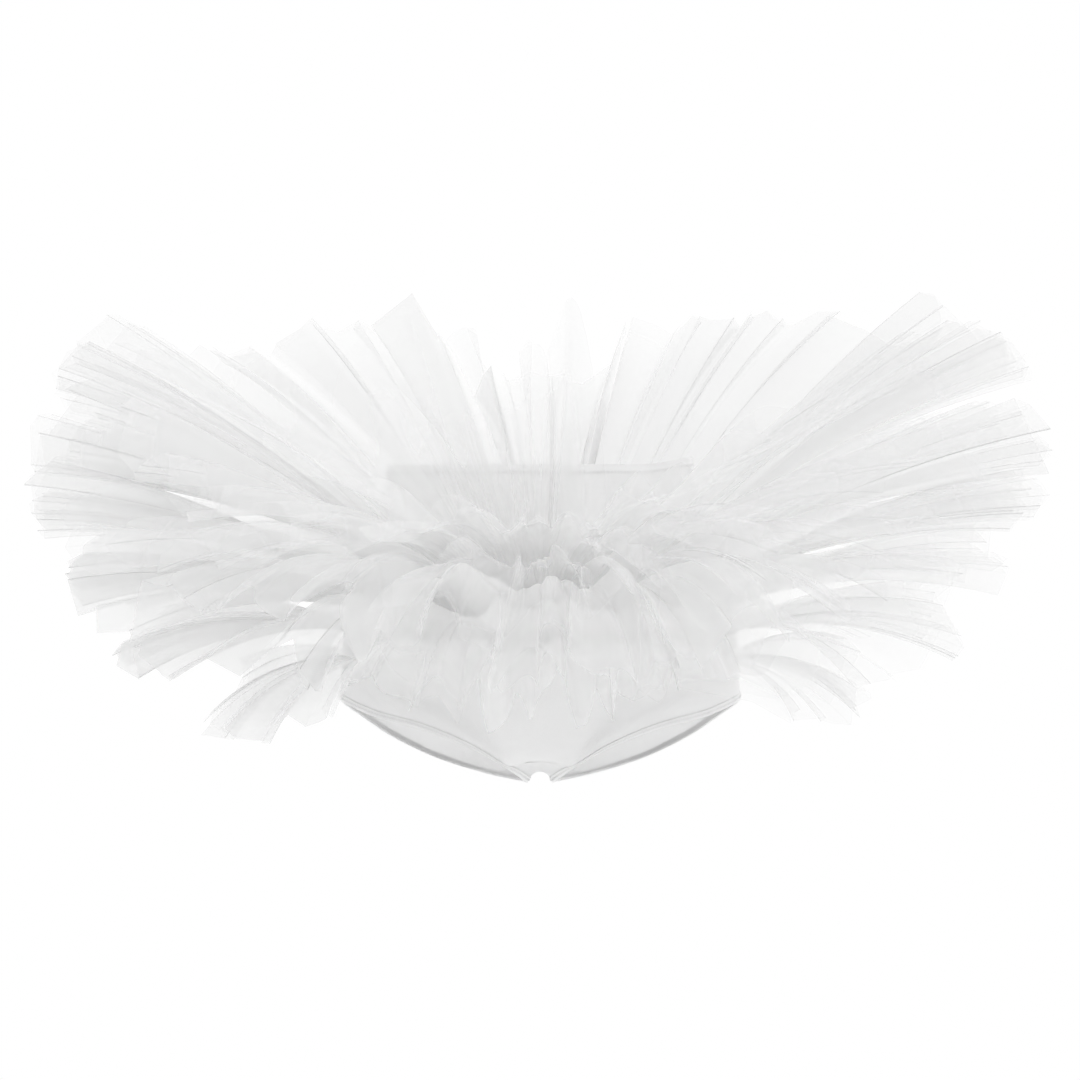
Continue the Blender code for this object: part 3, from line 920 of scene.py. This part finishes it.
def crease_plan(number, layer, folds, look):
    """All the creases of a strip, in order along it."""
    chance = random.Random(1000 * look.seed + number)
    hem_radius = SEAM_RADIUS + layer.depth
    sways = [chance.uniform(-1, 1) * look.sway / hem_radius for _ in folds]
    lifts = [chance.uniform(-1, 1) * look.fold_lift for _ in folds]
    plan, side = [], 1
    for k, fold in enumerate(folds):
        after = (k + 1) % len(folds)
        for mark in fold_marks(fold, hem_radius, chance):
            side = -side
            phase = min(max(mark.place, 0.004), 0.996)
            plan.append(
                Crease(
                    azimuth=fold.start + fold.width * phase,
                    sway=sways[k] + (sways[after] - sways[k]) * phase,
                    shift=mark.shift,
                    pleat=side * layer.pleat * mark.pleat * chance.uniform(0.2, 1.0),
                    cut=chance.gauss(0, 1) * CUT_SPREAD,
                    start=mark.start,
                    strength=mark.strength * chance.uniform(0.7, 1.0),
                    bow=chance.gauss(0, 1) * BOW_SPREAD / hem_radius,
                    lift=lifts[k] + (lifts[after] - lifts[k]) * phase,
                )
            )
    return plan


def fold_numbers(folds, azimuth):
    """Each azimuth's fold wave height and cut, eased between the folds, and its crest share."""
    starts, widths, waves, cuts = np.array(folds).T
    k = np.clip(np.searchsorted(starts, azimuth, side="right") - 1, 0, len(folds) - 1)
    phase = (azimuth - starts[k]) / widths[k]
    following = (k + 1) % len(folds)
    share = smoothstep(0.75, 1.0, phase)
    turn = np.sin(2 * math.pi * phase)
    return waves[k] * turn, cuts[k] + (cuts[following] - cuts[k]) * share, turn**2


def bell(azimuth, centre, half_width):
    """1 at the centre, 0 at its half-width and beyond, all in degrees round the body."""
    away = np.abs((np.degrees(azimuth) - centre + 180) % 360 - 180) / half_width
    return np.clip(1 - away, 0, 1)


def added(table, number, azimuth):
    """What a table's rows for one layer add at each azimuth, eased to nothing at their ends."""
    rows = [row for row in table if row.layer == number]
    bells = (smoothstep(0, 1, bell(azimuth, row.azimuth, row.half_width)) for row in rows)
    return sum(row[-1] * share for row, share in zip(rows, bells))


def seam_line(layer, azimuth):
    """The height of a layer's seam round the body, lower in front."""
    return layer.seam_height - layer.front_dip * np.maximum(0, np.cos(azimuth))


def crease_columns(plan, hem_radius, look):
    """The strip's columns, four to a crease: on it, beside it, halfway on, and before the next."""
    keys = {name: np.array([getattr(crease, name) for crease in plan]) for name in Crease._fields}
    after = {name: np.roll(values, -1) for name, values in keys.items()}
    after["azimuth"][-1] += 2 * math.pi
    run = after["azimuth"] + after["shift"] - keys["azimuth"] - keys["shift"]
    span = np.maximum(np.abs(run) * hem_radius, 1e-6)
    edge = np.clip(look.crease_width / 2 / span, 0.01, 0.3)
    shares = np.stack([0 * edge, edge, 0.5 + 0 * edge, 1 - edge], -1)
    columns = {
        name: (keys[name][:, None] + (after[name] - keys[name])[:, None] * shares).ravel()
        for name in keys
    }
    columns["strength"] = (keys["strength"][:, None] * (1.0, 0.0, 0.0, 0.0)).ravel()
    return Crease(**columns)


def front_ruffles(number, layer, laid, look):
    """What the front's ruffles do at each azimuth: height off, turn aside and change of cut."""
    strength = smoothstep(*RUFFLE_EASE, np.cos(laid)) * look.front_ruffle
    chance = random.Random(100 * look.seed)
    from_front = (laid + math.pi) % (2 * math.pi) - math.pi
    off, aside, longer = np.zeros((3, len(laid)))
    for ruffle in RUFFLES:
        waves = from_front * (SEAM_RADIUS + layer.depth) / ruffle.pitch
        phase = 2 * math.pi * waves + chance.uniform(0, 2 * math.pi)
        phase = phase + look.ruffle_lag * number
        uneven = 1 + 0.5 * np.sin(phase * HEIGHT_RATE + chance.uniform(0, 2 * math.pi))
        off += ruffle.height * uneven * np.sin(phase) * strength * layer.ruffle
        aside += math.radians(ruffle.turn) * uneven * np.cos(phase * TURN_RATE) * strength
        longer += ruffle.trim * np.sin(phase * TRIM_RATE + 1) * strength
    return off, aside, longer


def cloudy(column_count, seed):
    """A soft mottle all round a strip."""
    grain = np.random.RandomState(seed).normal(0, 1, (CLOUD_ROWS, column_count // CLOUD_WIDTH))
    width = grain.shape[1]
    columns = np.arange(column_count) * width / column_count
    rows = np.linspace(0, CLOUD_ROWS - 1, NET_ROWS)
    across = [np.interp(columns, np.arange(width), line, period=width) for line in grain]
    return np.stack([np.interp(rows, np.arange(CLOUD_ROWS), line) for line in np.transpose(across)], -1)


def net_cover(number, layer, column, along, s, look):
    """How strongly each point is creased (which adds cover and painted shade), and how closely it is
    gathered.
    """
    laid = column.azimuth + column.shift
    start = column.start
    crease = column.strength * smoothstep(start, start + CREASE_OPENING, s)
    crease = crease * (1 - HEM_SOFTER * smoothstep(0.5, 1, s))
    crease = crease * (1 - FRONT_SOFTER * smoothstep(*FRONT_EASE, np.cos(laid)))
    closer = 1 + smooth_between(CLOSENESS, "azimuth", np.degrees(laid) % 360, layer.tier)
    gather = ((SEAM_RADIUS + layer.depth) / (SEAM_RADIUS + along)) ** look.gather_power * closer
    gather = gather * (look.root_cover + (1 - look.root_cover) * smoothstep(*SEAM_THINNER, s))
    gather = gather * (1 - look.hem_fade * smoothstep(*HEM_THINNER, s))
    gather = gather * (1 + CLOUD_STRENGTH * np.clip(cloudy(len(laid), look.seed + number), -2, 2))
    return {"crease": crease, "gather": gather}


def net_grid(number, layer, look):
    """One gathered strip's points, and for each its crease line and how closely it is gathered."""
    folds = main_folds(number, layer)
    plan = crease_plan(number, layer, folds, look)
    column = crease_columns(plan, SEAM_RADIUS + layer.depth, look)
    laid = column.azimuth + column.shift
    turned = np.degrees(laid) % 360
    front = smoothstep(*FRONT_EASE, np.cos(laid))
    calm = 1 - look.back_calm * smoothstep(*BACK_EASE, -np.cos(laid))
    ruffled, aside, longer = front_ruffles(number, layer, laid, look)
    tips = sum(
        tip.drop * bell(laid, tip.azimuth, tip.half_width) for tip in TIPS if tip.layer == number
    )

    wave, depth, crest_share = fold_numbers(folds, laid % (2 * math.pi))
    wave = wave * smooth_between(HEMS, "azimuth", turned, "spread")
    wave = wave * calm * (1 + look.front_fall * front)
    depth = depth + column.cut + look.hem_lobe * (LOBE_REACH - crest_share)
    depth = depth + added(TRIMS, number, laid) + longer + TIP_LENGTH * tips
    seam = seam_line(layer, column.azimuth)
    hem = smooth_between(HEMS, "azimuth", turned, f"layer_{number}") + column.lift * calm
    hem = hem + added(PUSHES, number, laid)
    tilt = np.arcsin(np.clip((hem - seam) / layer.depth, -STEEPEST, STEEPEST))

    s = np.linspace(0, 1, NET_ROWS)[:, None]  # share of the way from the seam to the hem
    arch = 4 * s * (1 - s)
    opened = smoothstep(column.start - 0.02, column.start + PLEAT_OPENING, s)
    loose = smoothstep(*LOOSE, s)
    along = depth * s
    off = wave * s**FOLD_GROWTH + column.pleat * opened * (0.8 - 0.45 * s)
    off = off + layer.arch * (1 + look.front_puff * layer.puffed * front) * arch
    off = off - tips * s**TIP_GROWTH + ruffled * loose
    heading = column.azimuth + (column.sway + column.shift * opened) * s
    heading = heading + column.bow * arch + aside * loose
    out = along * np.cos(tilt) - off * np.sin(tilt)
    up = along * np.sin(tilt) + off * np.cos(tilt)
    reach = np.stack([out * np.sin(heading), -out * np.cos(heading), up], -1)
    points = torso_point(seam, column.azimuth, ROOT_LIFT) + reach
    return points, net_cover(number, layer, column, along, s, look)


class TUTU_OT_nets(bpy.types.Operator):
    """Makes the six gathered layers of net"""

    bl_idname = "tutu.nets"
    bl_label = "Net layers"

    def execute(self, context):
        look = context.scene.tutu_net
        material = net_finish(look)
        for number, layer in enumerate(LAYERS, start=1):
            points, values = net_grid(number, layer, look)
            obj = cloth_object(f"net_{number}_gathered", points, True, values)
            place_piece(obj, material, "net", f"net_layer_{number}")
        return {"FINISHED"}


# ---------------------------------------------------------------- stitching

WAIST_DROPS = (0.0062, 0.0074)  # of the waist's two rows, below the edge
WAIST_SPAN = 3  # how many rows of the panels lie beside them
OUT_OF_KNIT = 0.3  # of a thread's thickness, from the knit's face to the thread's middle
OUT_OF_BAND = 0.25  # the same, from the elastic's face
SEAM_DROP = 0.0015  # of a net's row, below its gathered edge
SEAM_LIFT = 0.0004  # of a net's row, off its gathered edge
SEAM_POINTS = 360
CLOSER_LEG = 0.62  # of the even stitch spacing, on the leg elastics
WIDER_NET = 1.1  # the same, on the nets' rows
LEG_ZIGZAG = 0.0030
NET_ZIGZAG = 0.0025
STITCH_INPUTS = {
    "Geometry": "NodeSocketGeometry",
    "Spacing": "NodeSocketFloat",
    "Length": "NodeSocketFloat",
    "Thread": "NodeSocketFloat",
    "Zigzag": "NodeSocketFloat",
    "Unevenness": "NodeSocketFloat",
    "Seed": "NodeSocketInt",
    "Material": "NodeSocketMaterial",
}


def stitch_tree():
    """Stitches of one size along the edges of a rail, straight or zigzag."""
    group = bpy.data.node_groups.new("stitches_on_a_rail", "GeometryNodeTree")
    for label, kind in STITCH_INPUTS.items():
        group.interface.new_socket(label, in_out="INPUT", socket_type=kind)
    group.interface.new_socket("Geometry", in_out="OUTPUT", socket_type="NodeSocketGeometry")
    tree = Tree(group)
    given = dict(zip(STITCH_INPUTS, tree.node("NodeGroupInput").all_outputs()))

    rail = tree.node("GeometryNodeMeshToCurve", Mesh=given["Geometry"])
    even = tree.node(
        "GeometryNodeResampleCurve", {"mode": "LENGTH"}, Curve=rail, Length=given["Spacing"]
    )
    across = tree.node(
        "GeometryNodeInputNamedAttribute", {"data_type": "FLOAT_VECTOR"}, Name="across"
    )
    side = tree.node("GeometryNodeInputIndex") % 2.0 - 0.5
    offset = tree.node(
        "ShaderNodeVectorMath", {"operation": "SCALE"}, at={0: across}, Scale=side * given["Zigzag"]
    )
    moved = tree.node("GeometryNodeSetPosition", Geometry=even, Offset=offset)
    edges = tree.node("GeometryNodeCurveToMesh", Curve=moved)
    start = tree.node("GeometryNodeInputMeshEdgeVertices", output="Position 1")
    end = tree.node("GeometryNodeInputMeshEdgeVertices", output="Position 2")
    run = tree.node("ShaderNodeVectorMath", {"operation": "SUBTRACT"}, at={0: end, 1: start})
    keep = tree.node("GeometryNodeCaptureAttribute", {"domain": "EDGE"}, Geometry=edges)
    keep.socket.node.capture_items.new("VECTOR", "Run")
    tree.feed(keep.socket.node.inputs["Run"], run)
    edges, run, *_ = keep.all_outputs()
    points = tree.node("GeometryNodeMeshToPoints", {"mode": "EDGES"}, Mesh=edges)
    turned = tree.node("FunctionNodeAlignRotationToVector", {"axis": "X"}, Vector=run)
    jitter = tree.node(
        "FunctionNodeRandomValue",
        {"data_type": "FLOAT"},
        output=1,
        at={2: 1.0 - given["Unevenness"], 3: 1.0 + given["Unevenness"]},
        Seed=given["Seed"],
    )
    size = tree.node(
        "ShaderNodeCombineXYZ", X=given["Length"] * jitter, Y=given["Thread"], Z=given["Thread"]
    )
    grain = tree.node("GeometryNodeMeshUVSphere", Segments=8, Rings=5, Radius=0.5)
    set_out = tree.node(
        "GeometryNodeInstanceOnPoints", Points=points, Instance=grain, Rotation=turned, Scale=size
    )
    real = tree.node("GeometryNodeRealizeInstances", Geometry=set_out)
    smooth = tree.node("GeometryNodeSetShadeSmooth", Geometry=real)
    finished = tree.node("GeometryNodeSetMaterial", Geometry=smooth, Material=given["Material"])
    tree.node("NodeGroupOutput", Geometry=finished)
    return group


def rail_object(name, loops):
    """Closed rails as loose edges; each loop is its points and their directions across."""
    points, sideways = (np.concatenate(part) for part in zip(*loops))
    edges = []
    for loop, _ in loops:
        first = len(edges)
        edges += [(first + i, first + (i + 1) % len(loop)) for i in range(len(loop))]
    mesh = bpy.data.meshes.new(name)
    mesh.from_pydata(points.tolist(), edges, [])
    attribute = mesh.attributes.new("across", "FLOAT_VECTOR", "POINT")
    attribute.data.foreach_set("vector", sideways.ravel())
    return new_object(name, mesh)


def sew(name, loops, tree, inputs):
    """Sews the rails and leaves a plain mesh."""
    obj = rail_object(name, loops)
    modifier = obj.modifiers.new("stitches", "NODES")
    modifier.node_group = tree
    for item in tree.interface.items_tree:
        if item.name in inputs:
            modifier[item.identifier] = inputs[item.name]
    settle(obj)
    if not obj.data.polygons:
        raise RuntimeError(f"{name} has no stitches")
    place_piece(obj, inputs["Material"], "elastic")


def waist_row(panels, drop, lift):
    """A row round the waist, a little below its edge and off the knit."""
    ring = []
    for grid in panels:
        rows = (grid + normals_of(grid) * lift)[: WAIST_SPAN + 1]
        place = WAIST_SPAN * drop / (rows[0, :, 2] - rows[-1, :, 2])
        upper = place.astype(int)
        part = (place - upper)[:, None]
        index = np.arange(len(upper))
        ring.append(rows[upper, index] * (1 - part) + rows[upper + 1, index] * part)
    loop = np.concatenate([line[:-1] for line in ring])
    return loop, np.zeros_like(loop)


def leg_row(side, grids, lift):
    """A row along the middle of a leg's elastic."""
    edge, inner, outward = leg_edge(side, *grids)
    return edge * 0.5 + inner * 0.5 + outward * lift, unit(inner - edge)


def net_row(layer):
    """A row along a net's seam."""
    turn = np.linspace(0, 2 * math.pi, SEAM_POINTS, endpoint=False)
    loop = torso_point(seam_line(layer, turn) - SEAM_DROP, turn, ROOT_LIFT + SEAM_LIFT)
    return loop, np.tile((0.0, 0.0, 1.0), (len(turn), 1))


class TUTU_OT_stitching(bpy.types.Operator):
    """Sews the waist turning, the leg elastics and the net's gathering rows"""

    bl_idname = "tutu.stitching"
    bl_label = "Stitching"

    def execute(self, context):
        look = context.scene.tutu_thread
        brief = context.scene.tutu_brief
        elastic = context.scene.tutu_elastic
        grids = brief_grids(brief)
        on_knit = brief.wall / 2 + look.thread * OUT_OF_KNIT
        on_band = elastic.lift + elastic.crown + elastic.wall / 2 + look.thread * OUT_OF_BAND
        seams = (
            ("waist_stitching", [waist_row(grids[:2], d, on_knit) for d in WAIST_DROPS], 1.0, 0.0),
            ("leg_stitching_left", [leg_row(-1, grids, on_band)], CLOSER_LEG, LEG_ZIGZAG),
            ("leg_stitching_right", [leg_row(1, grids, on_band)], CLOSER_LEG, LEG_ZIGZAG),
            ("net_seam_stitching", [net_row(layer) for layer in LAYERS], WIDER_NET, NET_ZIGZAG),
        )
        tree = stitch_tree()
        inputs = {
            "Length": look.length,
            "Thread": look.thread,
            "Unevenness": look.unevenness,
            "Seed": look.seed,
            "Material": thread_finish(look),
        }
        for name, loops, spread, zigzag in seams:
            sew(name, loops, tree, {**inputs, "Spacing": look.spacing * spread, "Zigzag": zigzag})
        return {"FINISHED"}


# ---------------------------------------------------------------- the stage

FLOOR_RINGS = 10
FLOOR_COLUMNS = 96
FLOOR_HOLE = 0.02
SENSOR_WIDTH = 36


class TUTU_OT_stage(bpy.types.Operator):
    """Sets the pale floor, the soft studio light and the camera"""

    bl_idname = "tutu.stage"
    bl_label = "Stage"

    def execute(self, context):
        look = context.scene.tutu_stage
        scene = context.scene
        turn = np.linspace(0, 2 * math.pi, FLOOR_COLUMNS, endpoint=False)
        rings = np.linspace(FLOOR_HOLE, look.floor_radius, FLOOR_RINGS)[:, None]
        level = np.full((len(rings), len(turn)), -look.floor_drop)
        disc = np.stack([rings * np.sin(turn), -rings * np.cos(turn), level], -1)
        floor = cloth_object("floor", disc, closed=True)
        floor.data.materials.append(floor_finish())

        scene.world = studio_world(look)
        scene.world.cycles.sampling_method = "NONE"

        camera = bpy.data.cameras.new("front_camera")
        camera.sensor_width = SENSOR_WIDTH
        camera.lens = SENSOR_WIDTH * look.camera_distance / look.frame_width
        camera.clip_end = 100
        obj = new_object("front_camera", camera)
        obj.location = (0, -look.camera_distance, look.frame_centre)
        obj.rotation_euler = (math.pi / 2, 0, 0)
        scene.camera = obj
        scene.view_settings.view_transform = "Standard"
        scene.cycles.diffuse_bounces = 12
        scene.cycles.transparent_max_bounces = 48
        scene.cycles.debug_use_spatial_splits = True
        return {"FINISHED"}


# ---------------------------------------------------------------- settings and panel


def number_of(name, description, default, **kind):
    return bpy.props.FloatProperty(name=name, description=description, default=default, **kind)


def length_of(name, description, default):
    return number_of(name, description, default, min=0, precision=5, unit="LENGTH")


def share_of(name, description, default, least=0):
    return number_of(name, description, default, min=least, max=1, subtype="FACTOR")


def seed_of(name, description, default):
    return bpy.props.IntProperty(name=name, description=description, default=default)


class TutuBriefLook(bpy.types.PropertyGroup):
    shade: share_of("Knit shade", "How light the white stretch knit is", 0.80)
    wall: length_of("Knit thickness", "Thickness of the stretch knit", 0.0010)
    wale: length_of("Wale spacing", "Distance between the knit's ribs", 0.0008)
    wrinkle: length_of("Wrinkle depth", "Depth of the soft pull wrinkles", 0.0010)
    glow_depth: length_of("Glow depth", "How far light spreads within the knit", 0.004)
    waist_lift: length_of("Waist lift", "How far the waist rides up at its right corner", 0.007)


class TutuElasticLook(bpy.types.PropertyGroup):
    shade: share_of("Elastic shade", "How light the elastic is", 0.94)
    wall: length_of("Elastic thickness", "Thickness of the leg elastic", 0.0008)
    lift: length_of("Elastic lift", "From the knit's middle to the elastic's edges", 0.0011)
    crown: length_of("Elastic crown", "How far the elastic's middle stands up", 0.0003)
    glow_depth: length_of("Glow depth", "How far light spreads within the elastic", 0.0010)


class TutuNetLook(bpy.types.PropertyGroup):
    shade: share_of("Net shade", "How light the net's threads are", 0.935)
    cover: share_of("Net cover", "How much of the view one flat layer of net hides", 0.15)
    gather_power: number_of("Gather", "How fast the cover grows towards the gathers", 1.6, min=0)
    crease_cover: share_of("Crease cover", "How much more of the view a sharp crease hides", 0.6)
    # Painted shade: how dark the crease lines are painted beside the net's own grey, as shade in the
    # folds.
    crease_painted_shade: share_of("Crease shade", "Shade of a crease beside the net's", 0.66)
    crease_width: length_of("Crease width", "Width of a crease line at the hem", 0.0017)
    mesh_pitch: length_of("Mesh pitch", "Distance between the net's holes", 0.0014)
    sway: length_of("Fold sway", "How far a fold leans aside at the hem", 0.016)
    fold_lift: length_of("Fold lift", "How far a fold rises or sinks at the hem", 0.016)
    front_fall: share_of("Front folds", "How much deeper the front folds stand", 0.5)
    front_puff: number_of("Front puff", "How much higher the front's gathers stand up", 1.2, min=0)
    hem_lobe: length_of("Hem lobes", "How much less a fold is cut at its crest and trough", 0.016)
    hem_fade: share_of("Hem fade", "How much of its cover the net loses at the hem", 0.45)
    root_cover: share_of("Root cover", "How much of the net's cover is left at its seam", 0.8)
    front_ruffle: share_of("Front ruffle", "How strongly the front hems are ruffled", 1.0)
    ruffle_lag: number_of(
        "Ruffle lag", "How far each layer's ruffles lie behind those above", 1.5, subtype="ANGLE"
    )
    back_calm: share_of("Back calm", "How much of the folds' waves the back's hem loses", 0.7)
    seed: seed_of("Fold seed", "Chooses how the fine creases fall", 7)


class TutuThreadLook(bpy.types.PropertyGroup):
    shade: share_of("Thread shade", "How light the thread is", 0.80)
    spacing: length_of("Stitch spacing", "From one stitch to the next", 0.0030)
    length: length_of("Stitch length", "Length of one stitch", 0.0022)
    thread: length_of("Thread thickness", "Thickness of the sewing thread", 0.0004)
    unevenness: share_of("Unevenness", "How much the stitches vary in length", 0.15)
    seed: seed_of("Stitch seed", "Chooses how the stitches vary", 3)


class TutuStageLook(bpy.types.PropertyGroup):
    floor_drop: length_of("Floor drop", "How far the floor lies below the waist", 1.05)
    camera_distance: length_of("Camera distance", "From the camera to the waist", 3.5)
    frame_width: length_of("Frame width", "Width of the view at the waist", 0.930)
    frame_centre: number_of("Frame centre", "Height of the view's middle", -0.0637, unit="LENGTH")
    floor_radius: length_of("Floor radius", "Radius of the round floor", 3.6)
    backdrop: number_of("Backdrop", "Brightness of the white backdrop", 1.0, min=0)
    sky: number_of("Room light", "Strength of the light from all round", 0.985, min=0)
    from_right: share_of("From the right", "How much brighter the room is on the right", 0.24, -1)
    from_behind: share_of("From behind", "How much brighter the room is behind", 0.35, -1)
    from_above: share_of("From above", "How much brighter the room is overhead", 0.20, -1)


GROUPS = (
    ("tutu_brief", TutuBriefLook),
    ("tutu_elastic", TutuElasticLook),
    ("tutu_net", TutuNetLook),
    ("tutu_thread", TutuThreadLook),
    ("tutu_stage", TutuStageLook),
)
OPERATORS = (TUTU_OT_brief, TUTU_OT_elastics, TUTU_OT_nets, TUTU_OT_stitching, TUTU_OT_stage)


class TUTU_PT_sidebar(bpy.types.Panel):
    """Lists the tutu's pieces and their sizes"""

    bl_idname = "TUTU_PT_sidebar"
    bl_label = "Practice tutu"
    bl_space_type = "VIEW_3D"
    bl_region_type = "UI"
    bl_category = "Tutu"

    def draw(self, context):
        for (attribute, group), operator in zip(GROUPS, OPERATORS):
            box = self.layout.box()
            box.operator(operator.bl_idname, text=operator.bl_label)
            settings = getattr(context.scene, attribute)
            for name in group.__annotations__:
                box.prop(settings, name)


CLASSES = (*(group for _, group in GROUPS), *OPERATORS, TUTU_PT_sidebar)


def register():
    for entry in CLASSES:
        bpy.utils.register_class(entry)
    for attribute, group in GROUPS:
        setattr(bpy.types.Scene, attribute, bpy.props.PointerProperty(type=group))


def unregister():
    for attribute, _ in GROUPS:
        delattr(bpy.types.Scene, attribute)
    for entry in reversed(CLASSES):
        bpy.utils.unregister_class(entry)


def main():
    register()
    bpy.ops.tutu.brief()
    bpy.ops.tutu.elastics()
    bpy.ops.tutu.nets()
    bpy.ops.tutu.stitching()
    bpy.ops.tutu.stage()


if __name__ == "__main__":
    main()
